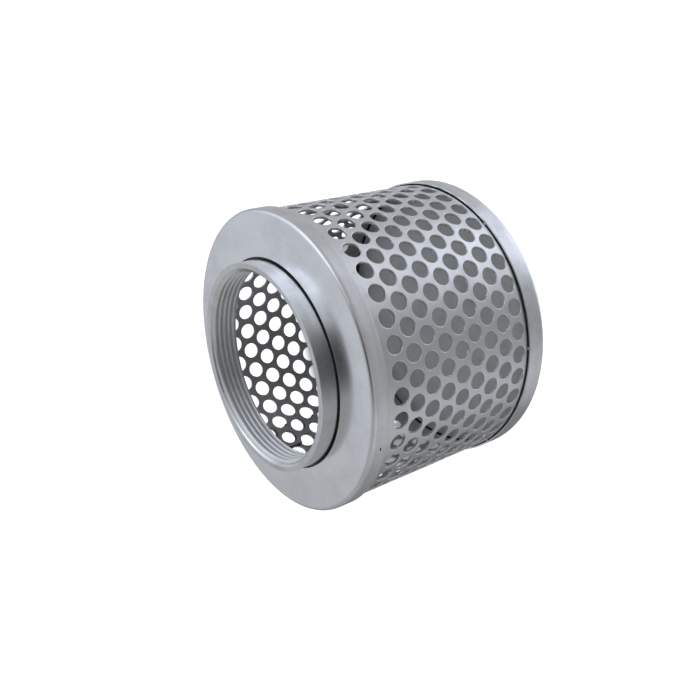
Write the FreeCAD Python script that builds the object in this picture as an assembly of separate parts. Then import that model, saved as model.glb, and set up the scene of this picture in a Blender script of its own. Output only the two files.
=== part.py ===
"""Suction strainer for a pump's foot: a female-threaded pipe collar on a perforated steel basket.

The strainer stands on its solid bottom cap with the pipe collar up.
Frame: millimetres, +Z up along the axis, origin at the centre of the bottom cap's underside.
Angles are in degrees clockwise from +X, seen from above, because the sheet is rolled that way.
"""
import FreeCAD, Part
import math
import os
from FreeCAD import Vector

# ---- basket: one perforated sheet, rolled and lapped ----
SHELL_RADIUS = 87.0          # outside of the rolled sheet
SHELL_SHEET = 1.5
SHELL_TOP = 125.0
HOLE_RADIUS = 5.0
HOLE_PITCH_ANGLE = 9.02      # a little over a fortieth of a turn, so the holes slip at the lap
HOLE_ROWS = 9
ROW_PITCH = 11.0
FIRST_ROW_HEIGHT = 19.0
SHEET_START = -189.8         # cut edge of the inner layer
SHEET_END = 182.7            # cut edge of the outer layer, past a full turn
LAP_GAP = 0.6                # between the two layers, open along the inner cut edge
STEP_START = -177.0          # the inner layer starts to step out to full radius
STEP_END = -168.0
STEP_SEGMENTS = 8

# ---- pressed caps ----
TOP_CAP_SHEET = 1.5
TOP_CAP_CLEARANCE = 0.1      # skirt to shell
TOP_CAP_FACE = 127.7         # outer face
SKIRT_EDGE = 116.5
TOP_CAP_BEND = 2.5           # outer bend radius
BOTTOM_CAP_SHEET = 1.0
BOTTOM_CAP_CLEARANCE = 0.7   # rim to shell, an open crevice
BOTTOM_CAP_BEND = 1.8
RIM_HEIGHT = 12.0

# ---- pipe collar: 4 inch straight pipe thread, 8 turns per inch ----
COLLAR_RADIUS = 60.8
COLLAR_TOP = 138.3
COLLAR_HEIGHT = 17.5
COLLAR_EDGE_BREAK = 0.3
CAP_HOLE_RADIUS = 62.0       # open crevice around the collar
THREAD_PITCH = 25.4 / 8
THREAD_MINOR_RADIUS = 54.8
THREAD_DEPTH = 2.0
THREAD_ANGLE = 60.0
THREAD_RUN_OUT = 1.5         # turns past each end of the collar
THREAD_MOUTH_OVERLAP = 0.25  # reach into the bore, small enough that turns stay apart
LEAD_IN_RADIUS = 57.6        # 45 degree lead-in at the mouth
TAIL_CHAMFER = 1.2

# ---- welds ----
COLLAR_WELD_LEG = 3.2
COLLAR_WELD_CROWN = 0.4      # bulge, in radius and in height
PLUG_WELD_RADIUS = 2.2
PLUG_WELD_HEIGHT = 120.5
PLUG_WELD_SINK = 0.15        # the plug's face lies below the skirt's
PLUG_WELD_ANGLES = [71 + 120 * i for i in range(3)]
TACK_COUNT = 7
TACK_FIRST_ANGLE = 1.5
TACK_LENGTH_ANGLE = 2.2
TACK_DEPTH = 1.2             # reach down into the rim's crevice
TACK_CROWN = 0.8             # at the shell
TACK_LIP_CROWN = 0.6         # over the rim's inner lip
SEAM_BEAD_RADIUS = 1.4
SEAM_BEAD_DEPTH = 1.0         # of the bead's centre below the shell's outside
SEAM_BEAD_OFFSET_ANGLE = 0.4  # of the bead's centre past the cut edge
SEAM_BEAD_LENGTH = 3.2
SEAM_BEAD_SPACING = 3         # in hole rows

# ---- worked out ----
SHELL_INNER_RADIUS = SHELL_RADIUS - SHELL_SHEET
INNER_LAYER_RADIUS = SHELL_INNER_RADIUS - LAP_GAP
MID_GAP_RADIUS = SHELL_INNER_RADIUS - LAP_GAP / 2
TOP_CAP_INNER = SHELL_RADIUS + TOP_CAP_CLEARANCE
TOP_CAP_OUTER = TOP_CAP_INNER + TOP_CAP_SHEET
BOTTOM_CAP_INNER = SHELL_RADIUS + BOTTOM_CAP_CLEARANCE
BOTTOM_CAP_OUTER = BOTTOM_CAP_INNER + BOTTOM_CAP_SHEET
COLLAR_BOTTOM = COLLAR_TOP - COLLAR_HEIGHT
REACH = 3.0                  # how far cutting tools run past the metal

AXIS = Vector(0, 0, 1)
ORIGIN = Vector(0, 0, 0)


def at(radius, angle, height=0.0):
    """Point at a radius and clockwise angle about the axis."""
    turn = math.radians(angle)
    return Vector(radius * math.cos(turn), -radius * math.sin(turn), height)


def arc(radius, start, end, height=0.0):
    """Edge along a circle about the axis between two clockwise angles."""
    points = [at(radius, angle, height) for angle in (start, (start + end) / 2, end)]
    return Part.Arc(*points).toShape()


def line(start, end):
    return Part.LineSegment(start, end).toShape()


def section(*pairs):
    """Closed polygon in the XZ plane from (radius, height) pairs."""
    points = [Vector(radius, 0, height) for radius, height in pairs]
    return Part.Face(Part.makePolygon(points + points[:1]))


def turned(face, angle=360.0):
    return face.revolve(ORIGIN, AXIS, angle)


def bent_corner(radius, height, bend, rising):
    """Quarter-circle edge in the XZ plane that rounds the outer corner of a cap at (radius, height).

    rising is +1 when the cap's wall runs up from the corner and -1 when it runs down.
    """
    centre = Vector(radius - bend, 0, height + rising * bend)
    slant = bend / math.sqrt(2)
    on_face = Vector(radius - bend, 0, height)
    halfway = centre + Vector(slant, 0, -rising * slant)
    on_wall = Vector(radius, 0, height + rising * bend)
    return Part.Arc(on_face, halfway, on_wall).toShape()


def cap(bore, outer, sheet, face, edge, bend):
    """Pressed cap: a flat face with a round bore (0 for none), a bend and a wall down or up to edge."""
    rising = 1 if edge > face else -1
    inside_face = face + rising * sheet
    outside = bent_corner(outer, face, bend, rising)
    inside = bent_corner(outer - sheet, inside_face, bend - sheet, rising)
    edges = [
        line(Vector(bore, 0, face), Vector(outer - bend, 0, face)),
        outside,
        line(Vector(outer, 0, face + rising * bend), Vector(outer, 0, edge)),
        line(Vector(outer, 0, edge), Vector(outer - sheet, 0, edge)),
        line(Vector(outer - sheet, 0, edge), Vector(outer - sheet, 0, face + rising * bend)),
        inside,
        line(Vector(outer - bend, 0, inside_face), Vector(bore, 0, inside_face)),
        line(Vector(bore, 0, inside_face), Vector(bore, 0, face)),
    ]
    return turned(Part.Face(Part.Wire(Part.__sortEdges__(edges))))


def step_curve(full_radius, height):
    """Smooth edge that steps the inner layer out from the lap to full_radius."""
    lap_radius = full_radius - SHELL_SHEET - LAP_GAP
    points = []
    for i in range(STEP_SEGMENTS + 1):
        share = i / STEP_SEGMENTS
        eased = share * share * (3 - 2 * share)
        radius = lap_radius + eased * (full_radius - lap_radius)
        points.append(at(radius, STEP_START + share * (STEP_END - STEP_START), height))
    curve = Part.BSplineCurve()
    along = (at(1, STEP_START + 90), at(1, STEP_END + 90))
    curve.interpolate(Points=points, InitialTangent=along[0], FinalTangent=along[1])
    return curve.toShape()


def rolled_sheet():
    """The sheet before punching: inner layer, step, a full turn and the outer layer over the lap."""
    base = BOTTOM_CAP_SHEET
    inner_layer_inside = INNER_LAYER_RADIUS - SHELL_SHEET
    edges = [
        arc(INNER_LAYER_RADIUS, SHEET_START, STEP_START, base),
        step_curve(SHELL_RADIUS, base),
        arc(SHELL_RADIUS, STEP_END, SHEET_END, base),
        line(at(SHELL_RADIUS, SHEET_END, base), at(SHELL_INNER_RADIUS, SHEET_END, base)),
        arc(SHELL_INNER_RADIUS, SHEET_END, STEP_END, base),
        step_curve(SHELL_INNER_RADIUS, base),
        arc(inner_layer_inside, STEP_START, SHEET_START, base),
        line(at(inner_layer_inside, SHEET_START, base), at(INNER_LAYER_RADIUS, SHEET_START, base)),
    ]
    face = Part.Face(Part.Wire(Part.__sortEdges__(edges)))
    return face.extrude(Vector(0, 0, SHELL_TOP - base))


def hole_tools():
    """One short radial cylinder for each hole, kept to its own layer in the lap."""
    half_width = math.degrees(HOLE_RADIUS / SHELL_RADIUS)
    inside = INNER_LAYER_RADIUS - SHELL_SHEET - REACH
    outside = SHELL_RADIUS + REACH
    tools = []
    for row in range(HOLE_ROWS):
        height = FIRST_ROW_HEIGHT + row * ROW_PITCH
        shift = 0.5 * (row % 2)
        first = math.ceil((SHEET_START - half_width) / HOLE_PITCH_ANGLE - shift)
        last = math.floor((SHEET_END + half_width) / HOLE_PITCH_ANGLE - shift)
        for column in range(first, last + 1):
            angle = (column + shift) * HOLE_PITCH_ANGLE
            low = inside
            high = outside
            if angle < SHEET_END - 360 + half_width:
                high = MID_GAP_RADIUS
            if angle > SHEET_START + 360 - half_width:
                low = MID_GAP_RADIUS
            tools.append(Part.makeCylinder(HOLE_RADIUS, high - low, at(low, angle, height), at(1, angle)))
    return tools


def perforated_shell():
    return rolled_sheet().cut(Part.makeCompound(hole_tools()))


def plug_weld_tools(low, high):
    return [
        Part.makeCylinder(PLUG_WELD_RADIUS, high - low, at(low, angle, PLUG_WELD_HEIGHT), at(1, angle))
        for angle in PLUG_WELD_ANGLES
    ]


def top_cap():
    """Annular cap whose skirt goes over the shell, with holes in the skirt for the plug welds."""
    pressed = cap(CAP_HOLE_RADIUS, TOP_CAP_OUTER, TOP_CAP_SHEET, TOP_CAP_FACE, SKIRT_EDGE, TOP_CAP_BEND)
    return pressed.cut(plug_weld_tools(SHELL_RADIUS - REACH, TOP_CAP_OUTER + REACH))


def bottom_cap():
    """Solid cap whose rim turns up around the foot of the shell."""
    return cap(0.0, BOTTOM_CAP_OUTER, BOTTOM_CAP_SHEET, 0.0, RIM_HEIGHT, BOTTOM_CAP_BEND)


def thread_groove():
    """Helical 60 degree groove that runs out past both ends of the collar."""
    flank = math.tan(math.radians(THREAD_ANGLE / 2))
    flat = (THREAD_PITCH - 2 * THREAD_DEPTH * flank) / 2
    root_half = flat / 2
    mouth_half = root_half + (THREAD_DEPTH + THREAD_MOUTH_OVERLAP) * flank
    mouth = THREAD_MINOR_RADIUS - THREAD_MOUTH_OVERLAP
    root = THREAD_MINOR_RADIUS + THREAD_DEPTH
    run_out = THREAD_RUN_OUT * THREAD_PITCH
    start = COLLAR_BOTTOM - run_out
    corners = ((mouth, -mouth_half), (root, -root_half), (root, root_half), (mouth, mouth_half))
    points = [Vector(radius, 0, start + height) for radius, height in corners]
    profile = Part.makePolygon(points + points[:1])
    helix = Part.makeHelix(THREAD_PITCH, COLLAR_HEIGHT + 2 * run_out, THREAD_MINOR_RADIUS)
    helix.translate(Vector(0, 0, start))
    return Part.Wire(helix.Edges).makePipeShell([profile], True, True)


def threaded_collar():
    lead_in = LEAD_IN_RADIUS - THREAD_MINOR_RADIUS
    blank = turned(section(
        (THREAD_MINOR_RADIUS + TAIL_CHAMFER, COLLAR_BOTTOM),
        (COLLAR_RADIUS - COLLAR_EDGE_BREAK, COLLAR_BOTTOM),
        (COLLAR_RADIUS, COLLAR_BOTTOM + COLLAR_EDGE_BREAK),
        (COLLAR_RADIUS, COLLAR_TOP - COLLAR_EDGE_BREAK),
        (COLLAR_RADIUS - COLLAR_EDGE_BREAK, COLLAR_TOP),
        (LEAD_IN_RADIUS, COLLAR_TOP),
        (THREAD_MINOR_RADIUS, COLLAR_TOP - lead_in),
        (THREAD_MINOR_RADIUS, COLLAR_BOTTOM + TAIL_CHAMFER),
    ))
    return blank.cut(thread_groove())


def collar_weld():
    """Fillet bead under the cap, all round the collar."""
    under = TOP_CAP_FACE - TOP_CAP_SHEET
    low = Vector(COLLAR_RADIUS, 0, under - COLLAR_WELD_LEG)
    corner = Vector(COLLAR_RADIUS, 0, under)
    leg = COLLAR_WELD_LEG + CAP_HOLE_RADIUS - COLLAR_RADIUS
    out = Vector(COLLAR_RADIUS + leg, 0, under)
    crown = (low + out) * 0.5 + Vector(COLLAR_WELD_CROWN, 0, -COLLAR_WELD_CROWN)
    edges = [line(low, corner), line(corner, out), Part.Arc(out, crown, low).toShape()]
    return turned(Part.Face(Part.Wire(Part.__sortEdges__(edges))))


def top_cap_welds():
    """Plug welds that fill the skirt's holes and sit on the shell."""
    face = TOP_CAP_OUTER - PLUG_WELD_SINK
    ring_height = 4 * PLUG_WELD_RADIUS
    base = at(0, 0, PLUG_WELD_HEIGHT - ring_height / 2)
    ring = Part.makeCylinder(face, ring_height, base).cut(Part.makeCylinder(SHELL_RADIUS, ring_height, base))
    return [ring.common(tool) for tool in plug_weld_tools(SHELL_RADIUS - REACH, TOP_CAP_OUTER + REACH)]


def bottom_cap_welds():
    """Short tacks that bridge the crevice between the bottom cap's rim and the shell."""
    foot = RIM_HEIGHT - TACK_DEPTH
    toe = Vector(SHELL_RADIUS, 0, RIM_HEIGHT + TACK_CROWN)
    heel = Vector(BOTTOM_CAP_OUTER - BOTTOM_CAP_SHEET / 2, 0, RIM_HEIGHT)
    crown = Vector(BOTTOM_CAP_INNER, 0, RIM_HEIGHT + TACK_LIP_CROWN)
    lip = Vector(BOTTOM_CAP_INNER, 0, RIM_HEIGHT)
    edges = [
        line(Vector(SHELL_RADIUS, 0, foot), Vector(BOTTOM_CAP_INNER, 0, foot)),
        line(Vector(BOTTOM_CAP_INNER, 0, foot), lip),
        line(lip, heel),
        Part.Arc(heel, crown, toe).toShape(),
        line(toe, Vector(SHELL_RADIUS, 0, foot)),
    ]
    face = Part.Face(Part.Wire(Part.__sortEdges__(edges)))
    welds = []
    for i in range(TACK_COUNT):
        tack = turned(face, TACK_LENGTH_ANGLE)
        tack.rotate(ORIGIN, AXIS, -(TACK_FIRST_ANGLE + TACK_LENGTH_ANGLE / 2 + i * 360 / TACK_COUNT))
        welds.append(tack)
    return welds


def shell_seam_welds(shell):
    """Short beads in the groove along the outer layer's cut edge, on the lands between hole rows."""
    welds = []
    for row in range(0, HOLE_ROWS + 1, SEAM_BEAD_SPACING):
        middle = FIRST_ROW_HEIGHT + (row - 0.5) * ROW_PITCH
        edge_angle = SHEET_END + SEAM_BEAD_OFFSET_ANGLE
        foot = at(SHELL_RADIUS - SEAM_BEAD_DEPTH, edge_angle, middle - SEAM_BEAD_LENGTH / 2)
        bead = Part.makeCylinder(SEAM_BEAD_RADIUS, SEAM_BEAD_LENGTH, foot)
        pieces = bead.cut(shell).Solids
        welds.append(max(pieces, key=lambda piece: piece.Volume))
    return welds


def write(name, shape):
    solids = shape if isinstance(shape, list) else [shape]
    valid = all(solid.isValid() and solid.Volume > 0 for solid in solids)
    print(f"{name}: {len(solids)} solid(s), {sum(solid.Volume for solid in solids):.1f} mm3, valid {valid}")
    whole = solids[0] if len(solids) == 1 else Part.makeCompound(solids)
    whole.exportStep(f"parts/{name}.step")


def main():
    os.makedirs("parts", exist_ok=True)
    shell = perforated_shell()
    write("perforated_shell", shell)
    write("shell_seam_welds", shell_seam_welds(shell))
    write("top_cap", top_cap())
    write("top_cap_welds", top_cap_welds())
    write("bottom_cap", bottom_cap())
    write("bottom_cap_welds", bottom_cap_welds())
    write("threaded_collar", threaded_collar())
    write("collar_weld", collar_weld())


main()
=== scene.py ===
"""Suction strainer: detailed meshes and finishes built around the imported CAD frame.

Frame: metres, +Z up along the axis, the strainer standing on its bottom cap.
Angles are in degrees clockwise from +X, seen from above, as the sheet is rolled.
"""

import math

import bmesh
import bpy
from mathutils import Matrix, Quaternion, Vector, noise


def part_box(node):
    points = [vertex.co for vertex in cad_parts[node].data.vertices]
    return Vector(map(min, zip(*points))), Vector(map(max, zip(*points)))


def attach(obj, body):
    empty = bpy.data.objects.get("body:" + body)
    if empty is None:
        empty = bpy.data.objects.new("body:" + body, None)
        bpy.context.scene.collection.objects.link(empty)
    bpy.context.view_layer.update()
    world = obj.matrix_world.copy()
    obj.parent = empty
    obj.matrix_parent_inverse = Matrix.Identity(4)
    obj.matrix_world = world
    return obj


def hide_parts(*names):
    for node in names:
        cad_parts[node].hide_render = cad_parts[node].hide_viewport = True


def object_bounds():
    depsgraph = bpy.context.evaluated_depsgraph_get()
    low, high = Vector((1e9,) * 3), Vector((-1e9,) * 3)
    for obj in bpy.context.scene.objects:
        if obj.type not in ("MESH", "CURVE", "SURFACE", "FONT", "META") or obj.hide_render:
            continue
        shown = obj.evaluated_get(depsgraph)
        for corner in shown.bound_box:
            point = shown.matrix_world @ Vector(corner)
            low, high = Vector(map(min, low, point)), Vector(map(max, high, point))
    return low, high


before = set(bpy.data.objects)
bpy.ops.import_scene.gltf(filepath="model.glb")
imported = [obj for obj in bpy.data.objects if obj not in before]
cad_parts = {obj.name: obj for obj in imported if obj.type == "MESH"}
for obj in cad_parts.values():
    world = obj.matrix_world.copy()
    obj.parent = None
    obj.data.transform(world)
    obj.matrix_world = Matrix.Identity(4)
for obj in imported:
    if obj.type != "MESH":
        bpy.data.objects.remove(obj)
CAD_LOW, CAD_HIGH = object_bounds()
MM = 0.001

# ---- perforated shell ----
SHELL_SHEET = 1.5 * MM
HOLE_RADIUS = 5.0 * MM
HOLE_PITCH_ANGLE = 9.02
HOLE_ROWS = 9
ROW_PITCH = 11.0 * MM
FIRST_ROW_HEIGHT = 19.0 * MM
SHEET_START = -189.8             # cut edge of the inner layer
SHEET_END = 182.7                # cut edge of the outer layer, past a full turn
LAP_GAP = 0.6 * MM               # between the two layers
STEP_START = -177.0              # the inner layer starts to step out to full radius
STEP_END = -168.0
PUNCH_ROUNDING = 0.45 * MM       # rolled-over edge on the outside of each hole
DIE_ROUNDING = 0.12 * MM
CELL_ACROSS = 8                  # segments round and up one hole's cell
CELL_UP = 6

# ---- caps ----
TOP_CAP_SHEET = 1.5 * MM
TOP_CAP_BEND = 2.5 * MM
CAP_HOLE_RADIUS = 62.0 * MM
CAP_CROWN = 0.7 * MM             # how far the top cap's face falls from the collar to its bend
FACE_RINGS = 12
BOTTOM_CAP_SHEET = 1.0 * MM
BOTTOM_CAP_BEND = 1.8 * MM
PLATE_RING_SHARES = (0.3, 0.6)   # of the outer radius, where the bottom plate has its rings of points
SHEARED_EDGE = 0.2 * MM
TURN_SEGMENTS = 360

# ---- collar ----
THREAD_PITCH = 25.4 / 8 * MM
THREAD_MINOR_RADIUS = 54.8 * MM
THREAD_DEPTH = 2.0 * MM
LEAD_IN_RADIUS = 57.6 * MM
LEAD_IN_ROUNDING = 1.0 * MM
LEAD_IN_ANGLE = 45
THREAD_FLANK_ANGLE = 30          # from square to the axis
CREST_EASE = 0.32                # share of a crest's width that its eased corner takes
TAIL_CHAMFER = 1.2 * MM
COLLAR_EDGE_BREAK = 0.3 * MM
CREVICE_DEPTH = 0.15 * MM        # how far below the top cap's face the shadow round the collar starts

# ---- welds ----
PLUG_RADIUS = 2.2 * MM
PLUG_ANGLES = [71 + 120 * i for i in range(3)]
PLUG_SINK = 0.03 * MM
# the plug's pit is coloured near-black: painted shade
PLUG_PIT = (1.4 * MM, 0.45 * MM)         # half width along the skirt and half height of its dark pit
PLUG_PIT_DEPTH = 0.6 * MM
PLUG_EDGE_ROUNDING = 0.06 * MM
PLUG_CELL_ANGLE = 6
PLUG_CELL_HEIGHT = 6.0 * MM
PLUG_CELL_UP = 4                 # segments
PLUG_RIPPLE = 0.03 * MM
TACK_COUNT = 7
TACK_FIRST_ANGLE = 1.5
TACK_OUT = 0.3 * MM
TACK_DROP = 0.85 * MM
TACK_SIZE = (1.25 * MM, 0.6 * MM, 0.7 * MM)      # along the rim, outwards, up
# near-black lumps at both ends of each tack: painted shade of the undercuts
UNDERCUT_REACH = 1.4 * MM
UNDERCUT_SIZE = (0.4 * MM, 0.62 * MM, 0.72 * MM)
SEAM_BEAD_COUNT = 4
SEAM_BEAD_SPACING = 3                            # in hole rows
SEAM_BEAD_ANGLE = SHEET_END + 0.4
SEAM_BEAD_SINK = 1.1 * MM
SEAM_BEAD_HALF = (1.2 * MM, 1.3 * MM)            # half sizes along the circumference and outwards
COLLAR_BEAD_BULGE = 0.25 * MM
COLLAR_BEAD_RIPPLE = 0.16 * MM
COLLAR_BEAD_PULSES = 110                         # ripples in one turn

# ---- mesh ----
MERGE = 0.005 * MM               # points nearer than this become one
COLLAR_MERGE = 0.004 * MM
FINE_MERGE = 0.002 * MM
TINY = 1e-6                      # metres, for comparing heights and radii
CONE_TOLERANCE = 0.05 * MM       # for telling the collar's lead-in and mouth from the rest
MOUTH_TOLERANCE = 0.02 * MM

# ---- camera ----
CAMERA_AZIMUTH = 59.615
CAMERA_ELEVATION = 34.012
CAMERA_ROLL = -106.887           # the strainer lies on its side in the picture
CAMERA_AIM = (-0.0048, -0.00263, 0.07336)
CAMERA_DISTANCE = 0.49448
CAMERA_LENS = 41.459

# ---- finishes: noise scales per metre, bump depths ----
CLOUD_SCALE = 42.0
SPECK_SCALE = 1300.0
SOFT_SCALE = 55.0
SPECK_DEPTH = 0.02 * MM
SCRATCH_DEPTH = 0.02 * MM
SOFT_DEPTH = 0.3 * MM
TORN_DEPTH = 0.12 * MM
WELD_PIT_DEPTH = 0.08 * MM
# near-black colour of the painted shade in corners and thread roots
SHADE_PAINT_GREY = (0.035, 0.035, 0.035, 1)
SCRATCH_FAMILIES = (             # rotation, then stretch along each axis
    ((0.4, 0.9, 0.2), (160, 14, 14)),
    ((1.1, 0.3, 2.0), (14, 190, 18)),
)

# ---- stage ----
FLOOR_COLOUR = (0.70, 0.70, 0.70, 1)
FLOOR_DROP = 0.05 * MM                   # below the strainer's foot
LAMP_AZIMUTH = -21                       # where the floor's lamp stands, counter-clockwise from +X
LAMP_ELEVATION = 54
LAMP_STRENGTH = 5.2
LAMP_SPREAD = math.radians(5)            # how wide it looks, which softens the shadow's edge
EVEN_LIGHT = 0.42
NEUTRAL_TINT = (0.98, 0.99, 1.005, 1)
COOL_TINT = (0.905, 0.955, 1.05, 1)
# Each glow: azimuth, elevation, inner and outer half width, and the strength it adds to the even light.
GLOWS = [
    (14, -59, 6, 33, 0.63),
    (12, -85, 10, 52, 0.20),
    (35, -20, 10, 50, 0.08),
    (90, -40, 10, 45, 0.08),
    (22, 37, 4, 28, 0.42),
    (54, 36, 4, 28, 0.86),
    (88, 35, 4, 30, 0.36),
    (-46, 42, 8, 37, -0.37),
    (-44, -38, 8, 38, -0.15),
    (-110, -38, 10, 36, 0.07),
    (-165, -34, 10, 45, -0.22),
    (122, 46, 5, 50, 0.27),
    (-97, -8, 4, 20, 0.60),
]

NODE_BODY = "root"
OUTSIDE, INSIDE, SHEARED, CREVICE = range(4)     # places of the materials on the shell
SKIRT = 2                                        # on the top cap, where the shell has SHEARED
THREAD, COLLAR_FOOT, MOUTH = 1, 2, 3             # on the collar
PIT = 1                                          # on the plug welds and the tacks


# ------------------------------------------------------------------ shapes

def at(radius, angle, height):
    """Point at a radius and clockwise angle about the axis."""
    turn = math.radians(angle)
    return (radius * math.cos(turn), -radius * math.sin(turn), height)


def extent(node):
    """(bottom, top, outer radius) of a round CAD node."""
    low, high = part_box(node)
    return low.z, high.z, (high.x - low.x) / 2


def finish_mesh(name, bm, node, materials, sharp_angle=35):
    """Turns bm into a shaded piece that stands for a CAD node."""
    bmesh.ops.recalc_face_normals(bm, faces=bm.faces)
    mesh = bpy.data.meshes.new(name)
    bm.to_mesh(mesh)
    bm.free()
    mesh.shade_smooth()
    mesh.set_sharp_from_angle(angle=math.radians(sharp_angle))
    for material in materials:
        mesh.materials.append(material)
    piece = bpy.data.objects.new(name, mesh)
    bpy.context.scene.collection.objects.link(piece)
    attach(piece, NODE_BODY)
    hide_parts(node)
    return piece


def rounded(corners):
    """Closed profile with a fillet at each (radius, height, fillet, segments) corner.

    Each fillet gets a support point just before and after it, which keeps the flats flat when shaded.
    """
    points = []
    count = len(corners)
    for i, (radius, height, fillet, segments) in enumerate(corners):
        corner = Vector((radius, height))
        if fillet == 0:
            points.append(corner)
            continue
        before = Vector(corners[i - 1][:2]) - corner
        after = Vector(corners[(i + 1) % count][:2]) - corner
        half = before.angle(after) / 2
        setback = fillet / math.tan(half)
        centre = corner + (before.normalized() + after.normalized()).normalized() * fillet / math.sin(half)
        first = corner + before.normalized() * setback
        last = corner + after.normalized() * setback
        support = 0.3 * fillet
        points.append(first + before.normalized() * support)
        for step in range(segments + 1):
            spoke = (first - centre).normalized().slerp((last - centre).normalized(), step / segments)
            points.append(centre + spoke * fillet)
        points.append(last + after.normalized() * support)
    return points


def turn_profile(bm, profile, segments, skip=None, closed=True, wobble=None):
    """Sweeps a profile of (radius, height) points about the axis.

    skip(ring, segment) leaves faces out; wobble(angle, ring) gives a small (radius, height) shift.
    """
    rings = []
    for index, (radius, height) in enumerate(profile):
        ring = []
        for step in range(segments):
            angle = 360 * step / segments
            shift = wobble(angle, index) if wobble else (0, 0)
            ring.append(bm.verts.new(at(radius + shift[0], angle, height + shift[1])))
        rings.append(ring)
    last = len(profile) if closed else len(profile) - 1
    for index in range(last):
        low = rings[index]
        high = rings[(index + 1) % len(profile)]
        for step in range(segments):
            if skip and skip(index, step):
                continue
            after = (step + 1) % segments
            bm.faces.new((low[step], low[after], high[after], high[step]))
    return rings


def hole_profile(radius, sheet, rounding):
    """(radius, depth) rings through one punched hole, from the outside face to the inside face."""
    rings = [(radius + rounding * 1.2, 0.0)]
    steps = 3
    for step in range(steps + 1):
        turn = math.pi / 2 * step / steps
        rings.append((radius + rounding * (1 - math.sin(turn)), rounding * (1 - math.cos(turn))))
    rings.append((radius, sheet - DIE_ROUNDING))
    rings.append((radius + DIE_ROUNDING, sheet))
    return rings


def cell_outline(across, up):
    """Points round a square of half side 1, counter-clockwise from its lower left corner."""
    points = [(-1 + 2 * i / across, -1) for i in range(across)]
    points += [(1, -1 + 2 * i / up) for i in range(up)]
    points += [(1 - 2 * i / across, 1) for i in range(across)]
    points += [(-1, 1 - 2 * i / up) for i in range(up)]
    return points


def cell_directions(across, up):
    """Unit directions from a hole's centre that match the outline's points, corner to corner."""
    directions = []
    for side, segments in enumerate((across, up, across, up)):
        for i in range(segments):
            turn = math.radians(-135 + 90 * (side + i / segments))
            directions.append((math.cos(turn), math.sin(turn)))
    return directions


def add_cell(bm, place, centre, half, hole, sheet, across, up, rounding):
    """One punched hole with the sheet round it out to a rectangle, both faces and the hole's wall.

    centre is (arc length, height), half the rectangle's half sides, and place(x, y, depth) puts a
    point of the flat sheet in space.
    """
    outline = cell_outline(across, up)
    directions = cell_directions(across, up)
    count = len(outline)
    rings = [[place(centre[0] + half[0] * x, centre[1] + half[1] * y, 0.0) for x, y in outline]]
    for radius, depth in hole_profile(hole, sheet, rounding):
        rings.append([place(centre[0] + radius * x, centre[1] + radius * y, depth) for x, y in directions])
    rings.append([place(centre[0] + half[0] * x, centre[1] + half[1] * y, sheet) for x, y in outline])
    made = [[bm.verts.new(point) for point in ring] for ring in rings]
    for outer, inner in zip(made, made[1:]):
        for i in range(count):
            after = (i + 1) % count
            bm.faces.new((outer[i], outer[after], inner[after], inner[i]))


# ------------------------------------------------------------------ pieces

def lap_inset(angle):
    """How far the sheet's outer face lies inside full radius at an angle along the sheet."""
    full = SHELL_SHEET + LAP_GAP
    if angle <= STEP_START:
        return full
    if angle >= STEP_END:
        return 0.0
    share = (angle - STEP_START) / (STEP_END - STEP_START)
    return full * (1 - share * share * (3 - 2 * share))


def add_plain_band(bm, stations, low, high, open_side):
    """Unpunched band of the flat sheet; open_side, 1 above or 3 below, is where it meets the cells."""
    loop = [(low, 0.0), (high, 0.0), (high, SHELL_SHEET), (low, SHELL_SHEET)]
    columns = [[bm.verts.new((along, y, depth)) for y, depth in loop] for along in stations]
    for left, right in zip(columns, columns[1:]):
        for side in range(4):
            if side == open_side:
                continue
            after = (side + 1) % 4
            bm.faces.new((left[side], right[side], right[after], left[after]))


def flat_sheet(bottom, top, arc_per_degree):
    """The punched sheet laid flat, a cell or two longer than it is at each end."""
    bm = bmesh.new()
    half = (HOLE_PITCH_ANGLE * arc_per_degree / 2, ROW_PITCH / 2)
    first = math.floor(SHEET_START / HOLE_PITCH_ANGLE) - 1
    last = math.ceil(SHEET_END / HOLE_PITCH_ANGLE) + 1
    for row in range(HOLE_ROWS):
        height = FIRST_ROW_HEIGHT + row * ROW_PITCH
        for column in range(first, last + 1):
            along = (column + 0.5 * (row % 2)) * HOLE_PITCH_ANGLE * arc_per_degree
            add_cell(bm, lambda x, y, depth: (x, y, depth), (along, height), half,
                     HOLE_RADIUS, SHELL_SHEET, CELL_ACROSS, CELL_UP, PUNCH_ROUNDING)
    rows_low = FIRST_ROW_HEIGHT - ROW_PITCH / 2
    rows_high = rows_low + HOLE_ROWS * ROW_PITCH
    step = HOLE_PITCH_ANGLE * arc_per_degree / CELL_ACROSS
    steps = (last - first + 1) * CELL_ACROSS
    start = (first - 0.5) * HOLE_PITCH_ANGLE * arc_per_degree
    stations = [start + i * step for i in range(steps + 1)]
    add_plain_band(bm, stations, bottom, rows_low, 1)
    add_plain_band(bm, stations, rows_high, top, 3)
    bmesh.ops.remove_doubles(bm, verts=bm.verts, dist=MERGE)
    for face in bm.faces:
        depths = [vertex.co.z for vertex in face.verts]
        if max(depths) - min(depths) > PUNCH_ROUNDING:
            face.material_index = SHEARED
        elif min(depths) > SHELL_SHEET - 2 * DIE_ROUNDING:
            face.material_index = INSIDE
    return bm


def darken_lap(bm, arc_per_degree):
    """Gives the faces between the overlapping ends of the sheet, which lie in shadow, the painted crevice
    shade.
    """
    for face in bm.faces:
        angle = face.calc_center_median().x / arc_per_degree
        outer_layer = angle > SHEET_START + 360
        inner_layer = angle < SHEET_END - 360
        if face.material_index == SHEARED and inner_layer:
            face.material_index = CREVICE
        elif face.material_index == INSIDE and outer_layer:
            face.material_index = CREVICE


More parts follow.
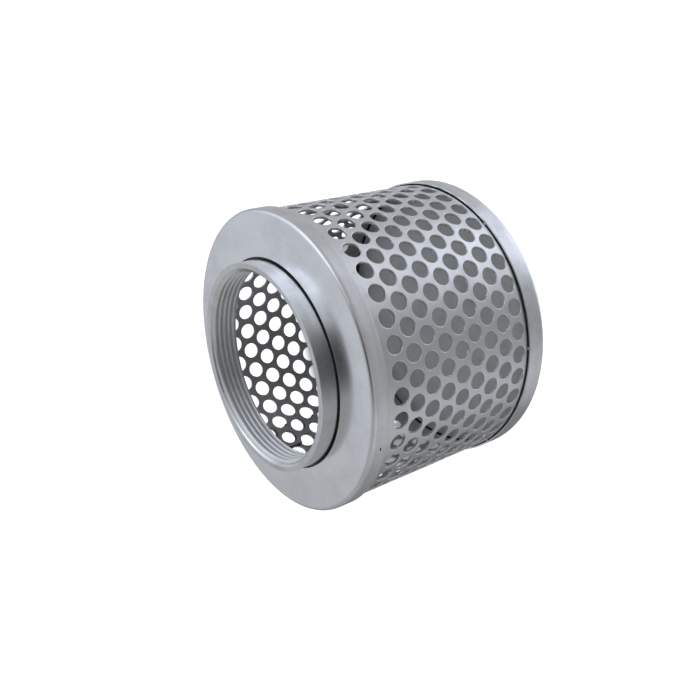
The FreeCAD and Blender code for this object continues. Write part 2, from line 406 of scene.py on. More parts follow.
def cut_end(bm, along, keep_high):
    """Shears the flat sheet across at an arc length and closes the cut edge with sheared metal."""
    geometry = bm.verts[:] + bm.edges[:] + bm.faces[:]
    cut = bmesh.ops.bisect_plane(bm, geom=geometry, dist=1e-7, plane_co=(along, 0, 0), plane_no=(1, 0, 0),
                                 clear_inner=keep_high, clear_outer=not keep_high)
    edges = [item for item in cut["geom_cut"] if isinstance(item, bmesh.types.BMEdge)]
    for face in bmesh.ops.holes_fill(bm, edges=edges, sides=0)["faces"]:
        face.material_index = SHEARED


def perforated_shell(materials):
    """The punched sheet, sheared to length, rolled up and lapped."""
    bottom, top, radius = extent("perforated_shell")
    arc_per_degree = math.radians(radius)
    bm = flat_sheet(bottom, top, arc_per_degree)
    cut_end(bm, SHEET_START * arc_per_degree, True)
    cut_end(bm, SHEET_END * arc_per_degree, False)
    darken_lap(bm, arc_per_degree)
    for vertex in bm.verts:
        along, height, depth = vertex.co
        angle = along / arc_per_degree
        vertex.co = at(radius - lap_inset(angle) - depth, angle, height)
    return finish_mesh("shell_rolled", bm, "perforated_shell", materials)


def top_cap_corners(bottom, top, outer, cell_low):
    """Corners of the top cap's section, with rows of points where the plug welds' cells join the skirt."""
    inner = outer - TOP_CAP_SHEET
    under = top - TOP_CAP_SHEET
    inside_bend = TOP_CAP_BEND - TOP_CAP_SHEET
    face_width = outer - TOP_CAP_BEND - CAP_HOLE_RADIUS
    shares = [i / FACE_RINGS for i in range(1, FACE_RINGS)]
    face_rows = [(CAP_HOLE_RADIUS + face_width * share, top - CAP_CROWN * share ** 2, 0, 0)
                 for share in shares]
    heights = [cell_low + PLUG_CELL_HEIGHT * i / PLUG_CELL_UP for i in range(PLUG_CELL_UP + 1)]
    return [
        (CAP_HOLE_RADIUS, under, SHEARED_EDGE, 2),
        (CAP_HOLE_RADIUS, top, SHEARED_EDGE, 3),
        *face_rows,
        (outer, top - CAP_CROWN, TOP_CAP_BEND, 10),
        *[(outer, height, 0, 0) for height in heights[::-1]],
        (outer, bottom, SHEARED_EDGE, 3),
        (inner, bottom, SHEARED_EDGE, 2),
        *[(inner, height, 0, 0) for height in heights],
        (inner, under - CAP_CROWN, inside_bend, 4),
    ]


def rows_of_cells(profile, low, high, inner):
    """Numbers of the profile's upright stretches that the plug welds' cells stand in for."""
    rows = {i for i, point in enumerate(profile)
            if low - TINY < point.y < high + TINY and point.x > inner - TINY}
    return {i for i in rows if i + 1 in rows and abs(profile[i].x - profile[i + 1].x) < TINY}


def top_cap(materials):
    """Pressed ring whose skirt has the three punched holes that the plug welds fill.

    The skirt's duller finish starts part of the way down the bend.
    """
    bottom, top, outer = extent("top_cap")
    inner = outer - TOP_CAP_SHEET
    plug_low, plug_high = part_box("top_cap_welds")
    plug_height = (plug_low.z + plug_high.z) / 2
    cell_low = plug_height - PLUG_CELL_HEIGHT / 2
    profile = rounded(top_cap_corners(bottom, top, outer, cell_low))
    punched_rows = rows_of_cells(profile, cell_low, cell_low + PLUG_CELL_HEIGHT, inner)
    degrees = 360 / TURN_SEGMENTS
    across = round(PLUG_CELL_ANGLE / degrees)
    punched_steps = set()
    for angle in PLUG_ANGLES:
        first = round((angle - PLUG_CELL_ANGLE / 2) / degrees)
        punched_steps.update(range(first, first + across))
    bm = bmesh.new()
    turn_profile(bm, profile, TURN_SEGMENTS,
                 skip=lambda ring, step: ring in punched_rows and step in punched_steps)
    arc_per_degree = math.radians(outer)
    for angle in PLUG_ANGLES:
        add_cell(bm, lambda x, y, depth: at(outer - depth, x / arc_per_degree, y),
                 (angle * arc_per_degree, plug_height),
                 (PLUG_CELL_ANGLE * arc_per_degree / 2, PLUG_CELL_HEIGHT / 2),
                 PLUG_RADIUS, TOP_CAP_SHEET, across, PLUG_CELL_UP, PLUG_EDGE_ROUNDING)
    bmesh.ops.remove_doubles(bm, verts=bm.verts, dist=MERGE)
    piece = finish_mesh("top_cap_pressed", bm, "top_cap", materials)
    for face in piece.data.polygons:
        radius, height = face.center.xy.length, face.center.z
        # The hole's edge beside the collar gets the painted crevice shade, the underside the inside zinc with
        # its painted shade.
        if radius < CAP_HOLE_RADIUS + SHEARED_EDGE / 2:
            face.material_index = CREVICE
        elif radius < inner + SHEARED_EDGE / 2 and height < top - 0.9 * TOP_CAP_SHEET:
            face.material_index = INSIDE
        elif radius > inner and height < top - CAP_CROWN - 0.4 * TOP_CAP_BEND:
            face.material_index = SKIRT
    return piece


def bottom_cap(materials):
    """Pressed pan: a flat plate, a bend, and a rim that stands round the shell."""
    bottom, top, outer = extent("bottom_cap")
    inner = outer - BOTTOM_CAP_SHEET
    plate = bottom + BOTTOM_CAP_SHEET
    inside_bend = BOTTOM_CAP_BEND - BOTTOM_CAP_SHEET
    corners = [
        (0.0, bottom, 0, 0),
        *[(share * outer, bottom, 0, 0) for share in PLATE_RING_SHARES],
        (outer, bottom, BOTTOM_CAP_BEND, 8),
        (outer, top, SHEARED_EDGE, 3),
        (inner, top, SHEARED_EDGE / 2, 2),
        (inner, plate, inside_bend, 3),
        *[(share * outer, plate, 0, 0) for share in PLATE_RING_SHARES[::-1]],
        (0.0, plate, 0, 0),
    ]
    bm = bmesh.new()
    turn_profile(bm, rounded(corners), TURN_SEGMENTS, closed=False)
    bmesh.ops.remove_doubles(bm, verts=bm.verts, dist=MERGE)
    piece = finish_mesh("bottom_cap_pressed", bm, "bottom_cap", materials)
    for face in piece.data.polygons:
        above_plate = face.center.z > bottom + BOTTOM_CAP_SHEET / 2
        within_rim = face.center.xy.length < inner + SHEARED_EDGE / 2
        face.material_index = INSIDE if above_plate and within_rim else OUTSIDE
    return piece


def thread_rows():
    """(height, depth) points along one pitch of the thread, crest first, with eased crests and roots."""
    flank = math.tan(math.radians(THREAD_FLANK_ANGLE))
    crest = (THREAD_PITCH - 2 * THREAD_DEPTH * flank) / 2
    run = THREAD_DEPTH * flank
    ease = CREST_EASE * crest
    drop = ease / flank
    return [
        (0.0, drop * 0.35),
        (ease, 0.0),
        (crest - ease, 0.0),
        (crest, drop * 0.35),
        (crest + 2 * ease, 2 * drop),
        (crest + run / 2, THREAD_DEPTH / 2),
        (crest + run - 2 * ease, THREAD_DEPTH - 2 * drop),
        (crest + run, THREAD_DEPTH - drop * 0.35),
        (crest + run + ease, THREAD_DEPTH),
        (2 * crest + run - ease, THREAD_DEPTH),
        (2 * crest + run, THREAD_DEPTH - drop * 0.35),
        (2 * crest + run + 2 * ease, THREAD_DEPTH - 2 * drop),
        (2 * crest + 1.5 * run, THREAD_DEPTH / 2),
        (2 * crest + 2 * run - 2 * ease, 2 * drop),
    ]


def thread_depth(rows, height):
    """Groove depth at a height along the thread, between the points of thread_rows."""
    phase = height % THREAD_PITCH
    looped = rows + [(THREAD_PITCH, rows[0][1])]
    for (low, low_depth), (high, high_depth) in zip(looped, looped[1:]):
        if phase <= high:
            return low_depth + (high_depth - low_depth) * (phase - low) / (high - low)
    return looped[-1][1]


def collar_bore(bottom, top):
    """Function of (turns, height) that gives the bore's radius: lead-in, thread, or chamfer at the tail."""
    rows = thread_rows()
    start = bottom - THREAD_PITCH

    def bore(turns, height):
        lead_in = LEAD_IN_RADIUS - (top - height)
        tail = THREAD_MINOR_RADIUS + TAIL_CHAMFER - (height - bottom)
        groove = THREAD_MINOR_RADIUS + thread_depth(rows, height - start - turns * THREAD_PITCH)
        return max(lead_in, tail, groove)

    return bore


def add_thread(bm, bore, bottom, top):
    """The bore's surface: rows that follow the helix and are gathered at the collar's two ends."""
    start = bottom - THREAD_PITCH
    thread_top = top - LEAD_IN_ROUNDING * (1 - math.cos(math.radians(LEAD_IN_ANGLE)))
    pitches = math.ceil((top - start) / THREAD_PITCH) + 1
    offsets = [pitch * THREAD_PITCH + height for pitch in range(pitches) for height, _ in thread_rows()]
    grid = []
    for step in range(TURN_SEGMENTS + 1):
        turns = step / TURN_SEGMENTS
        column = []
        for offset in offsets:
            height = min(max(start + offset + turns * THREAD_PITCH, bottom), thread_top)
            column.append(bm.verts.new(at(bore(turns % 1, height), 360 * turns, height)))
        grid.append(column)
    for left, right in zip(grid, grid[1:]):
        for i in range(len(offsets) - 1):
            face = bm.faces.new((left[i], right[i], right[i + 1], left[i + 1]))
            face.material_index = THREAD


def collar_skin(bottom, top, outer, foot_top):
    """(radius, height) points from the rounded lead-in over the mouth and down the outside."""
    mouth = LEAD_IN_RADIUS + LEAD_IN_ROUNDING * math.tan(math.radians(LEAD_IN_ANGLE / 2))
    rim = COLLAR_EDGE_BREAK
    lead_in_turns = [math.radians(LEAD_IN_ANGLE - 9 * i) for i in range(6)]
    rim_turns = [math.radians(30 * i) for i in range(4)]
    return [
        *[(mouth - LEAD_IN_ROUNDING * math.sin(turn), top - LEAD_IN_ROUNDING * (1 - math.cos(turn)))
          for turn in lead_in_turns],
        (outer - 1.5 * rim, top),
        *[(outer - rim * (1 - math.sin(turn)), top - rim * (1 - math.cos(turn))) for turn in rim_turns],
        (outer, top - 1.5 * rim),
        (outer, foot_top),
        (outer, bottom + 1.5 * rim),
        (outer, bottom + rim),
        (outer - rim, bottom),
        (outer - 2 * rim, bottom),
    ]


def threaded_collar(materials):
    """Turned collar, its thread cut as a true helix.

    The foot in the crevice is painted with shade, the lead-in's cone is bright and the flat mouth is a darker
    copy of the turned finish, painted shade.
    """
    bottom, top, outer = extent("threaded_collar")
    foot_top = extent("top_cap")[1] - CREVICE_DEPTH
    bore = collar_bore(bottom, top)
    bm = bmesh.new()
    add_thread(bm, bore, bottom, top)
    rings = turn_profile(bm, collar_skin(bottom, top, outer, foot_top), TURN_SEGMENTS, closed=False)
    foot = [bm.verts.new(at(bore(step / TURN_SEGMENTS, bottom), 360 * step / TURN_SEGMENTS, bottom))
            for step in range(TURN_SEGMENTS)]
    for step in range(TURN_SEGMENTS):
        after = (step + 1) % TURN_SEGMENTS
        bm.faces.new((rings[-1][step], rings[-1][after], foot[after], foot[step]))
    bmesh.ops.remove_doubles(bm, verts=bm.verts, dist=COLLAR_MERGE)
    bmesh.ops.dissolve_degenerate(bm, edges=bm.edges, dist=FINE_MERGE)
    piece = finish_mesh("collar_turned", bm, "threaded_collar", materials, sharp_angle=50)
    for face in piece.data.polygons:
        radius, height = face.center.xy.length, face.center.z
        # The foot below the cap's face gets the painted crevice shade; the mouth gets its darker copy,
        # painted shade.
        if height < foot_top and radius > outer - COLLAR_EDGE_BREAK:
            face.material_index = COLLAR_FOOT
        elif abs(radius - LEAD_IN_RADIUS + top - height) < CONE_TOLERANCE:
            face.material_index = OUTSIDE
        elif height > top - MOUTH_TOLERANCE:
            face.material_index = MOUTH
    return piece


def ripple(angle, per_turn, seed):
    """Weld ripple from -1 to 1: an even pulse that noise makes uneven."""
    drift = noise.noise(Vector((math.cos(math.radians(angle)) * 3, math.sin(math.radians(angle)) * 3, seed)))
    pulse = math.cos(math.radians(angle * per_turn) + 4 * drift)
    return 0.6 * pulse + 0.9 * drift


def collar_weld(materials):
    """Rippled fillet bead under the top cap, all round the collar."""
    low, high, outer = extent("collar_weld")
    inner = extent("threaded_collar")[2]
    leg = high - low
    crown = 7                        # steps across the bead's free face, which alone is rippled

    def bead(angle, ring):
        if ring >= crown:
            return (0.0, 0.0)
        lump = COLLAR_BEAD_RIPPLE * ripple(angle, COLLAR_BEAD_PULSES, 2.5) * math.sin(math.pi * ring / crown)
        return (lump, -lump)

    profile = []
    for i in range(crown + 1):
        share = i / crown
        bulge = COLLAR_BEAD_BULGE * math.sin(math.pi * share)
        profile.append((inner + (outer - inner) * share + bulge, low + leg * share - bulge))
    profile.append((inner, high))
    bm = bmesh.new()
    turn_profile(bm, profile, TURN_SEGMENTS, wobble=bead)
    return finish_mesh("collar_bead", bm, "collar_weld", materials)


def add_lump(bm, centre, axes, sizes, seed, place=OUTSIDE, rings=12, segments=20):
    """Weld lump: a rippled, uneven blob with its long axis first; place is its material's place."""
    rows = []
    for ring in range(rings + 1):
        polar = math.pi * ring / rings
        row = []
        for step in range(segments):
            turn = 2 * math.pi * step / segments
            around = math.sin(polar)
            unit = Vector((math.cos(polar), around * math.cos(turn), around * math.sin(turn)))
            rough = 1 + 0.16 * noise.noise(unit * 2.1 + Vector((seed, 0, 0)))
            rough += 0.05 * math.cos(7 * unit.x + seed)
            point = Vector(centre)
            for axis, size, share in zip(axes, sizes, unit):
                point += Vector(axis) * size * share * rough
            row.append(bm.verts.new(point))
        rows.append(row)
    for low, high in zip(rows, rows[1:]):
        for step in range(segments):
            after = (step + 1) % segments
            face = bm.faces.new((low[step], low[after], high[after], high[step]))
            face.material_index = place


def directions_at(angle):
    """(outward, along the circumference, up) at an angle."""
    return Vector(at(1, angle, 0)), Vector(at(1, angle + 90, 0)), Vector((0, 0, 1))


def bottom_cap_welds(materials):
    """Tacks across the crevice between the bottom cap's rim and the shell, with a near-black lump at both
    ends, painted shade of the undercuts.
    """
    rim_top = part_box("bottom_cap_welds")[1].z
    shell = extent("perforated_shell")[2]
    bm = bmesh.new()
    for i in range(TACK_COUNT):
        angle = TACK_FIRST_ANGLE + 360 * i / TACK_COUNT
        outward, along, up = directions_at(angle)
        centre = outward * (shell + TACK_OUT) + up * (rim_top - TACK_DROP)
        add_lump(bm, centre, (along, outward, up), TACK_SIZE, 3.7 * i)
        for side in (-1, 1):
            add_lump(bm, centre + along * side * UNDERCUT_REACH, (along, outward, up), UNDERCUT_SIZE,
                     3.7 * i + side, place=PIT)
    bmesh.ops.remove_doubles(bm, verts=bm.verts, dist=FINE_MERGE)
    return finish_mesh("rim_tacks", bm, "bottom_cap_welds", materials, sharp_angle=80)


def shell_seam_welds(materials):
    """Short beads along the outer layer's cut edge."""
    low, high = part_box("shell_seam_welds")
    shell = extent("perforated_shell")[2]
    spacing = SEAM_BEAD_SPACING * ROW_PITCH
    length = high.z - low.z - (SEAM_BEAD_COUNT - 1) * spacing
    outward, along, up = directions_at(SEAM_BEAD_ANGLE)
    bm = bmesh.new()
    for i in range(SEAM_BEAD_COUNT):
        height = low.z + length / 2 + i * spacing
        add_lump(bm, outward * (shell - SEAM_BEAD_SINK) + up * height, (up, along, outward),
                 (length / 2, *SEAM_BEAD_HALF), 5.1 * i + 1)
    bmesh.ops.remove_doubles(bm, verts=bm.verts, dist=FINE_MERGE)
    return finish_mesh("seam_beads", bm, "shell_seam_welds", materials, sharp_angle=80)


def add_plug(bm, angle, height, face, foot, seed, segments=24):
    """One plug weld: an oval pit painted with shade in a rippled disc, with its wall down to the shell."""
    outward, along, up = directions_at(angle)
    turns = [2 * math.pi * step / segments for step in range(segments)]

    def oval(half_across, half_rise, radius_at):
        return [bm.verts.new(outward * radius_at(turn) + along * (half_across * math.cos(turn))
                             + up * (height + half_rise * math.sin(turn))) for turn in turns]

    def rippled(share):
        def radius_at(turn):
            spot = Vector((math.cos(turn), math.sin(turn), share + seed))
            return face + PLUG_RIPPLE * noise.noise(spot) - PLUG_SINK * share
        return radius_at

    pit_across, pit_rise = PLUG_PIT
    rings = [oval(0.5 * pit_across, 0.6 * pit_rise, lambda turn: face - PLUG_PIT_DEPTH),
             oval(pit_across, pit_rise, lambda turn: face)]
    for share in (0.5, 0.8, 1.0):
        rings.append(oval(share * PLUG_RADIUS, share * PLUG_RADIUS, rippled(share)))
    rings.append(oval(PLUG_RADIUS, PLUG_RADIUS, lambda turn: foot))
    bm.faces.new(rings[0]).material_index = PIT
    for number, (outer, inner) in enumerate(zip(rings, rings[1:])):
        for step in range(segments):
            after = (step + 1) % segments
            side = bm.faces.new((outer[step], outer[after], inner[after], inner[step]))
            side.material_index = PIT if number == 0 else OUTSIDE


def top_cap_welds(materials):
    """Plug welds: discs dressed nearly flush with the skirt, each with a small pit left in it, painted with
    shade.
    """
    low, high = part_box("top_cap_welds")
    height = (low.z + high.z) / 2
    face = extent("top_cap")[2] - PLUG_SINK
    foot = extent("perforated_shell")[2]
    bm = bmesh.new()
    for index, angle in enumerate(PLUG_ANGLES):
        add_plug(bm, angle, height, face, foot, 7.0 * index)
    return finish_mesh("skirt_plugs", bm, "top_cap_welds", materials, sharp_angle=60)


# ------------------------------------------------------------------ finishes

class Nodes:
    """Small helper that adds and links shader nodes in one tree."""

    def __init__(self, tree):
        self.tree = tree
        tree.nodes.clear()

    def add(self, kind, inputs=None, **settings):
        node = self.tree.nodes.new(kind)
        for name, value in settings.items():
            setattr(node, name, value)
        for name, value in (inputs or {}).items():
            socket = node.inputs[name]
            if isinstance(value, bpy.types.NodeSocket):
                self.tree.links.new(value, socket)
            else:
                socket.default_value = value
        return node

    def math(self, operation, first, second=0.0):
        return self.add("ShaderNodeMath", {0: first, 1: second}, operation=operation).outputs[0]

    def stretched(self, source, scale):
        """The vector multiplied axis by axis."""
        return self.add("ShaderNodeVectorMath", {0: source, 1: scale}, operation="MULTIPLY").outputs[0]

    def noise(self, vector, scale, detail, roughness):
        inputs = {"Vector": vector, "Scale": scale, "Detail": detail, "Roughness": roughness}
        return self.add("ShaderNodeTexNoise", inputs).outputs["Fac"]

    def bump(self, height, strength, distance, under=None):
        """Normal from a height, laid over the normal under it."""
        inputs = {"Height": height, "Strength": strength, "Distance": distance}
        if under:
            inputs["Normal"] = under
        return self.add("ShaderNodeBump", inputs).outputs[0]

    def scratches(self, place):
        """Sparse hairlines in two slanted families, 1 on a line and 0 off it."""
        families = []
        for turn, stretch in SCRATCH_FAMILIES:
            turned = self.add("ShaderNodeVectorRotate", {"Vector": place, "Rotation": turn},
                              rotation_type="EULER_XYZ").outputs[0]
            field = self.noise(self.stretched(turned, stretch), 1.0, 1.0, 0.4)
            away = self.math("ABSOLUTE", self.math("SUBTRACT", field, 0.5))
            line = self.remap(away, 0.0, 0.006, 1.0, 0.0)
            patch = self.remap(self.noise(turned, 60.0, 1.0, 0.5), 0.52, 0.6, smooth=True)
            families.append(self.math("MULTIPLY", line, patch))
        return self.math("MAXIMUM", *families)

    def remap(self, value, low, high, to_low=0.0, to_high=1.0, smooth=False):
        inputs = {"Value": value, "From Min": low, "From Max": high, "To Min": to_low, "To Max": to_high}
        kind = "SMOOTHSTEP" if smooth else "LINEAR"
        return self.add("ShaderNodeMapRange", inputs, interpolation_type=kind).outputs["Result"]

    def mix(self, factor, first, second):
        """Colour mix; each end is a colour or a socket."""
        node = self.add("ShaderNodeMix", {"Factor": factor}, data_type="RGBA")
        for socket, value in ((node.inputs[6], first), (node.inputs[7], second)):
            if isinstance(value, bpy.types.NodeSocket):
                self.tree.links.new(value, socket)
            else:
                socket.default_value = value
        return node.outputs[2]


def new_material(name):
    """A material, its empty node tree, and the place on the object."""
    material = bpy.data.materials.new(name)
    material.use_nodes = True
    nodes = Nodes(material.node_tree)
    place = nodes.add("ShaderNodeTexCoord").outputs["Object"]
    return material, nodes, place


def metal_surface(nodes, inputs):
    """Sends a shader with these inputs to the material's output."""
    shader = nodes.add("ShaderNodeBsdfPrincipled", inputs)
    nodes.add("ShaderNodeOutputMaterial", {"Surface": shader.outputs[0]})


def zinc_normal(nodes, place, marks, scratches, grain_depth):
    """Bump from the working marks, fine specks, scratches and a soft unevenness of the sheet."""
    speck = nodes.noise(place, SPECK_SCALE, 2.0, 0.6)
    soft = nodes.noise(place, SOFT_SCALE, 1.0, 0.4)
    marks_bump = nodes.bump(marks, 0.5, grain_depth)
    speck_bump = nodes.bump(speck, 0.05, SPECK_DEPTH, marks_bump)
    scratch_bump = nodes.bump(scratches, 0.25, -SCRATCH_DEPTH, speck_bump)
    return nodes.bump(soft, 0.25, SOFT_DEPTH, scratch_bump)


def zinc(name, bright, dull, roughness, grain, grain_depth, cloud_share, streak_share, scratch_share=0.2,
         shade_paint=None):
    """Zinc-plated steel with fine working marks, clouding and hairline scratches.

    bright and dull are the fresh and the tarnished tint; roughness is (low, high).
    grain is how tightly the working marks lie, in marks per metre: along x and y, up z, out along the radius.
    shade_paint is painted shade towards a corner or a groove's root: (z or radius, where it is full, where it
    ends, how dark).
    """
    material, nodes, place = new_material(name)
    x, y, z = nodes.add("ShaderNodeSeparateXYZ", {0: place}).outputs
    squared = nodes.math("ADD", nodes.math("MULTIPLY", x, x), nodes.math("MULTIPLY", y, y))
    radius = nodes.math("SQRT", squared)
    across, rise, out = grain
    marks_at = nodes.add("ShaderNodeCombineXYZ", {
        0: nodes.math("MULTIPLY", x, across),
        1: nodes.math("MULTIPLY", y, across),
        2: nodes.math("ADD", nodes.math("MULTIPLY", z, rise), nodes.math("MULTIPLY", radius, out)),
    }).outputs[0]
    marks = nodes.noise(marks_at, 1.0, 4.0, 0.65)
    wide_marks = nodes.noise(nodes.stretched(marks_at, (0.4, 0.4, 0.16)), 1.0, 3.0, 0.6)
    cloud = nodes.noise(place, CLOUD_SCALE, 4.0, 0.62)
    scratches = nodes.scratches(place)
    tarnish = nodes.remap(cloud, 0.40, 0.70, 0.0, cloud_share, smooth=True)
    streaks = nodes.math("ADD", nodes.remap(marks, 0.3, 0.7, 0.0, streak_share * 0.5),
                         nodes.remap(wide_marks, 0.35, 0.65, 0.0, streak_share))
    worn = nodes.math("ADD", nodes.math("ADD", tarnish, streaks),
                      nodes.math("MULTIPLY", scratches, scratch_share))
    base = nodes.mix(worn, bright, dull)
    # Painted shade: the colour darkens towards a corner or a groove's root.
    if shade_paint:
        direction, full, end, share = shade_paint
        along = {"z": z, "radius": radius}[direction]
        base = nodes.mix(nodes.remap(along, full, end, share, 0.0, smooth=True), base, SHADE_PAINT_GREY)
    rough = nodes.remap(cloud, 0.3, 0.7, roughness[0], roughness[1])
    rough = nodes.math("ADD", rough, nodes.remap(wide_marks, 0.3, 0.7, -0.04, 0.04))
    rough = nodes.math("ADD", rough, nodes.math("MULTIPLY", scratches, 0.08))
    normal = zinc_normal(nodes, place, marks, scratches, grain_depth)
    metal_surface(nodes, {"Base Color": base, "Metallic": 1.0, "Roughness": rough, "Normal": normal})
    return material


def painted_crevice_shade(name):
    """Near-black metal for the depth of a gap: painted shade."""
    material, nodes, place = new_material(name)
    dirt = nodes.noise(place, 500.0, 3.0, 0.6)
    base = nodes.mix(dirt, (0.03, 0.03, 0.03, 1), (0.12, 0.12, 0.12, 1))
    metal_surface(nodes, {"Base Color": base, "Metallic": 0.5, "Roughness": 0.6})
    return material


def sheared_metal(name):
    """Punched hole walls and cut edges: torn metal with a few bright spots painted near-white and
    non-metallic, painted glints.
    """
    material, nodes, place = new_material(name)
    torn = nodes.noise(place, 700.0, 3.0, 0.6)
    glint_spot = nodes.noise(place, 330.0, 2.0, 0.5)
    # Painted glints: small spots turned near-white and non-metallic.
    painted_glint = nodes.remap(glint_spot, 0.60, 0.68, smooth=True)
    base = nodes.mix(nodes.remap(torn, 0.35, 0.65), (0.50, 0.50, 0.50, 1), (0.72, 0.72, 0.73, 1))
    base = nodes.mix(painted_glint, base, (0.95, 0.96, 0.98, 1))
    rough = nodes.remap(painted_glint, 0.0, 1.0, 0.6, 0.4)
    normal = nodes.bump(torn, 0.5, TORN_DEPTH)
    metallic = nodes.math("SUBTRACT", 1.0, painted_glint)
    metal_surface(nodes, {"Base Color": base, "Metallic": metallic, "Roughness": rough, "Normal": normal})
    return material


def weld_finish(name, dark, light):
    """Rough, clouded weld metal; dark and light are its two greys."""
    material, nodes, place = new_material(name)
    cloud = nodes.noise(place, 420.0, 4.0, 0.65)
    pits = nodes.noise(place, 1800.0, 3.0, 0.6)
    base = nodes.mix(nodes.remap(cloud, 0.35, 0.65), dark, light)
    rough = nodes.remap(cloud, 0.3, 0.7, 0.55, 0.35)
    normal = nodes.bump(pits, 0.4, WELD_PIT_DEPTH)
    metal_surface(nodes, {"Base Color": base, "Metallic": 1.0, "Roughness": rough, "Normal": normal})
    return material


# ------------------------------------------------------------------ stage

def studio_floor():
    """Plain pale floor with its own lamp; it neither lights nor shades the metal, nor shows in it.

    It is clear from underneath, so the strainer's base can be seen.
    """
    bm = bmesh.new()
    bmesh.ops.create_grid(bm, x_segments=8, y_segments=8, size=4.0)
    mesh = bpy.data.meshes.new("floor")
    bm.to_mesh(mesh)
    bm.free()
    floor = bpy.data.objects.new("floor", mesh)
    floor.location.z = CAD_LOW.z - FLOOR_DROP
    bpy.context.scene.collection.objects.link(floor)
    material = bpy.data.materials.new("floor_white")
    material.use_nodes = True
    nodes = Nodes(material.node_tree)
    shader = nodes.add("ShaderNodeBsdfPrincipled", {"Base Color": FLOOR_COLOUR, "Roughness": 0.9})
    clear = nodes.add("ShaderNodeBsdfTransparent")
    underneath = nodes.add("ShaderNodeNewGeometry").outputs["Backfacing"]
    seen = nodes.add("ShaderNodeMixShader", {0: underneath, 1: shader.outputs[0], 2: clear.outputs[0]})
    nodes.add("ShaderNodeOutputMaterial", {"Surface": seen.outputs[0]})
    mesh.materials.append(material)
    floor.visible_glossy = False
    floor.visible_diffuse = False
    floor.visible_shadow = False
    floor_lamp(floor)


def floor_lamp(floor):
    """Soft lamp that lights only the floor, where the strainer casts a real shadow."""
    data = bpy.data.lights.new("floor_lamp", "SUN")
    data.energy = LAMP_STRENGTH
    data.angle = LAMP_SPREAD
    lamp = bpy.data.objects.new("floor_lamp", data)
    lamp.rotation_mode = "QUATERNION"
    lamp.rotation_quaternion = compass(LAMP_AZIMUTH, LAMP_ELEVATION).to_track_quat("Z", "Y")
    bpy.context.scene.collection.objects.link(lamp)
    lit = bpy.data.collections.new("lit_by_floor_lamp")
    lit.objects.link(floor)
    lamp.light_linking.receiver_collection = lit


def compass(azimuth, elevation):
    """Unit direction towards an azimuth counter-clockwise from +X and an elevation."""
    turn, rise = math.radians(azimuth), math.radians(elevation)
    return Vector((math.cos(turn) * math.cos(rise), math.sin(turn) * math.cos(rise), math.sin(rise)))


def studio_light():
    """Soft surrounding light: an even base with broad brighter and dimmer glows, fixed in space.

    The glows follow the highlights in the photo. The camera sees plain white behind the strainer.
    """
    world = bpy.data.worlds.new("studio")
    bpy.context.scene.world = world
    world.use_nodes = True
    nodes = Nodes(world.node_tree)
    toward = nodes.add("ShaderNodeTexCoord").outputs["Generated"]
    total = EVEN_LIGHT
    cool = 0.0
    for azimuth, elevation, inner, outer, strength in GLOWS:
        facing = nodes.add("ShaderNodeVectorMath", {0: toward, 1: compass(azimuth, elevation)},
                           operation="DOT_PRODUCT").outputs["Value"]
        edge, core = (math.cos(math.radians(half_width)) for half_width in (outer, inner))
        glow = nodes.remap(facing, edge, core, 0.0, strength, smooth=True)
        total = nodes.math("ADD", total, glow)
        if strength > 0:
            cool = nodes.math("ADD", cool, glow)
    tint = nodes.mix(nodes.remap(cool, 0.0, 0.4), NEUTRAL_TINT, COOL_TINT)
    background = nodes.add("ShaderNodeBackground", {"Color": tint, "Strength": total})
    seen = nodes.add("ShaderNodeBackground", {"Color": (1, 1, 1, 1), "Strength": 1.0})
    camera_ray = nodes.add("ShaderNodeLightPath").outputs["Is Camera Ray"]
    mixed = nodes.add("ShaderNodeMixShader", {0: camera_ray, 1: background.outputs[0], 2: seen.outputs[0]})
    nodes.add("ShaderNodeOutputWorld", {"Surface": mixed.outputs[0]})


def camera():
    """The photo's viewpoint. Azimuth is counter-clockwise from -Y."""
    data = bpy.data.cameras.new("camera")
    data.lens = CAMERA_LENS
    data.sensor_width = 36
    data.clip_start = 0.01
    data.clip_end = 30
    cam = bpy.data.objects.new("camera", data)
    bpy.context.scene.collection.objects.link(cam)
    azimuth, elevation = math.radians(CAMERA_AZIMUTH), math.radians(CAMERA_ELEVATION)
    back = Vector((math.sin(azimuth) * math.cos(elevation), -math.cos(azimuth) * math.cos(elevation),
                   math.sin(elevation)))
    roll = Quaternion((0, 0, 1), math.radians(CAMERA_ROLL))
    cam.location = Vector(CAMERA_AIM) + back * CAMERA_DISTANCE
    cam.rotation_mode = "QUATERNION"
    cam.rotation_quaternion = (-back).to_track_quat("-Z", "Y") @ roll
    bpy.context.scene.camera = cam


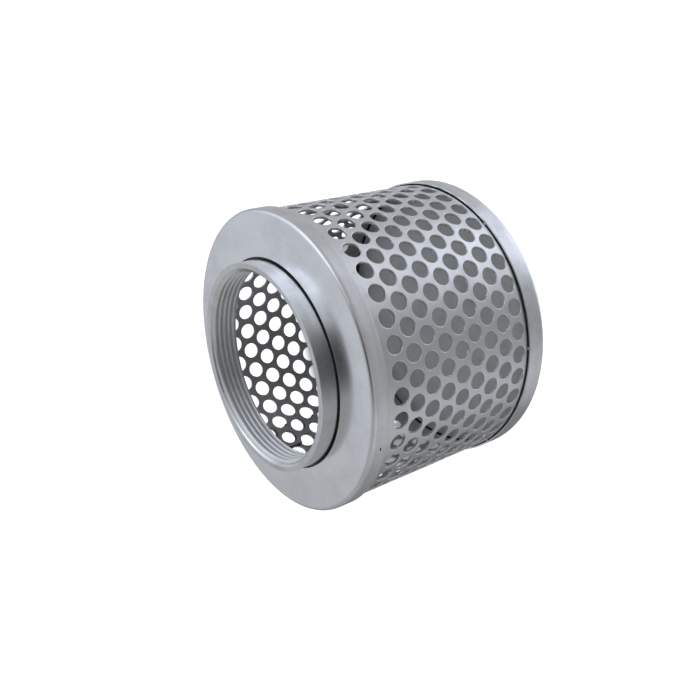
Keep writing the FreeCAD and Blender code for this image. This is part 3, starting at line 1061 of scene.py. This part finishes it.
def build():
    """Makes the finishes, then every piece with the finishes in their places."""
    shell_foot, _, shell_radius = extent("perforated_shell")
    shell_inner = shell_radius - SHELL_SHEET
    basket = zinc("basket_zinc", (0.80, 0.81, 0.83, 1), (0.60, 0.60, 0.61, 1), (0.25, 0.34),
                  (70, 900, 0), 0.01 * MM, cloud_share=0.35, streak_share=0.15)
    # Inner faces: the zinc made darker, painted shade, and rougher; darkest at the shell's foot by the plate,
    # painted shade.
    inside = zinc("inside_zinc_painted_shade", (0.50, 0.50, 0.51, 1), (0.37, 0.37, 0.37, 1), (0.40, 0.52),
                  (70, 900, 0), 0.02 * MM, cloud_share=0.5, streak_share=0.3,
                  shade_paint=("z", shell_foot + 0.8 * MM, shell_foot + 1.5 * MM, 1.0))
    sheared = sheared_metal("sheared_edge")
    crevice = painted_crevice_shade("crevice_painted_shade")
    cap_face = zinc("top_cap_zinc", (0.80, 0.815, 0.835, 1), (0.62, 0.63, 0.65, 1), (0.20, 0.28),
                    (25, 900, 900), 0.01 * MM, cloud_share=0.4, streak_share=0.15)
    skirt = zinc("skirt_zinc", (0.86, 0.865, 0.88, 1), (0.66, 0.65, 0.65, 1), (0.40, 0.50),
                 (22, 1500, 0), 0.04 * MM, cloud_share=0.5, streak_share=0.5, scratch_share=0.4)
    rim = zinc("bottom_cap_zinc", (0.86, 0.87, 0.89, 1), (0.58, 0.59, 0.61, 1), (0.25, 0.36),
               (25, 1100, 500), 0.02 * MM, cloud_share=0.6, streak_share=0.35, scratch_share=0.5)
    # The plate darkens at its edge where it meets the shell: painted shade.
    plate = zinc("bottom_plate_dull", (0.70, 0.70, 0.705, 1), (0.56, 0.56, 0.555, 1), (0.58, 0.72),
                 (30, 0, 400), 0.02 * MM, cloud_share=0.4, streak_share=0.2,
                 shade_paint=("radius", shell_inner - 0.6 * MM, shell_inner - 1.3 * MM, 1.0))
    turning = {"roughness": (0.20, 0.29), "grain": (14, 1300, 1300), "grain_depth": 0.006 * MM,
               "cloud_share": 0.6, "streak_share": 0.25, "scratch_share": 0.3}
    turned = zinc("collar_turned_zinc", (0.86, 0.87, 0.885, 1), (0.62, 0.62, 0.62, 1), **turning)
    # The mouth: a darker copy of the turned finish, painted shade.
    mouth_face = zinc("mouth_zinc_painted_shade", (0.68, 0.69, 0.70, 1), (0.49, 0.49, 0.49, 1), **turning)
    # The thread darkens towards its roots: painted shade.
    thread = zinc("thread_zinc", (0.88, 0.89, 0.90, 1), (0.68, 0.68, 0.68, 1), (0.40, 0.48),
                  (20, 300, 0), 0.005 * MM, cloud_share=0.4, streak_share=0.15,
                  shade_paint=("radius", THREAD_MINOR_RADIUS + THREAD_DEPTH, THREAD_MINOR_RADIUS + 0.2 * MM, 0.18))
    seam_weld = weld_finish("weld_seam", (0.40, 0.39, 0.38, 1), (0.66, 0.66, 0.68, 1))
    dressed_weld = weld_finish("weld_dressed", (0.70, 0.70, 0.71, 1), (0.82, 0.82, 0.84, 1))
    # The collar's bead under the top cap: near-black, painted shade.
    shaded_weld = weld_finish("weld_painted_shade", (0.06, 0.06, 0.06, 1), (0.14, 0.14, 0.14, 1))
    perforated_shell([basket, inside, sheared, crevice])
    top_cap([cap_face, inside, skirt, crevice])
    bottom_cap([rim, plate])
    threaded_collar([turned, thread, crevice, mouth_face])
    collar_weld([shaded_weld])
    bottom_cap_welds([seam_weld, crevice])
    top_cap_welds([dressed_weld, crevice])
    shell_seam_welds([seam_weld])


build()
studio_floor()
studio_light()
camera()
bpy.context.scene.view_settings.view_transform = "Standard"
